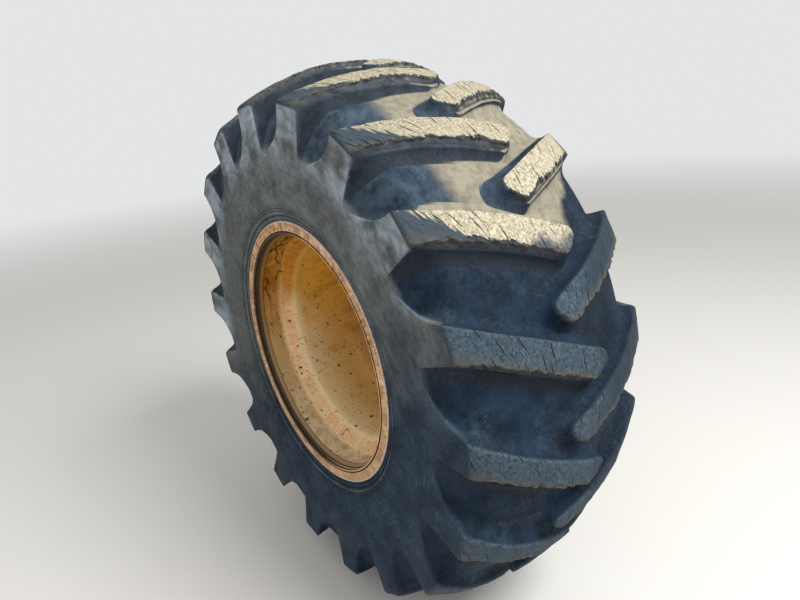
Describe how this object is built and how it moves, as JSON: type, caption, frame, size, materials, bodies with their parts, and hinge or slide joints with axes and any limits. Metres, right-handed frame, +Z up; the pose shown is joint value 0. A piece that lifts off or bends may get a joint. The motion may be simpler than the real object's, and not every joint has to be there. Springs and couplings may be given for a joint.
{
  "type": "forestry wheel and tyre",
  "caption": "Worn lugged forestry tyre on a deep, rusty yellow drop-centre steel rim with a flat bolt-on disc.",
  "frame": {"origin": "centre of the bolt circle on the hub face of the disc, on the wheel axis", "axes": "+Y along the wheel axis towards the machine's hub, -Y towards the outer side, +Z up"},
  "size_m": [1.8, 0.66, 1.8],
  "materials": {
    "tyre_rubber": "worn, dusty",
    "rim_paint": "faded paint with rust",
    "flange_paint": "scratched paint with rust",
    "valve_brass": "dull",
    "valve_plastic": "matte"
  },
  "bodies": {
    "root": {"tyre": "tyre_rubber", "rim_base": "rim_paint", "outer_flange_ring": "flange_paint", "inner_flange_ring": "flange_paint", "disc": "rim_paint", "outer_disc_weld": "rim_paint", "inner_disc_weld": "rim_paint", "valve_stem": "valve_brass", "valve_nut": "valve_brass", "valve_cap": "valve_plastic"}
  },
  "joints": []
}
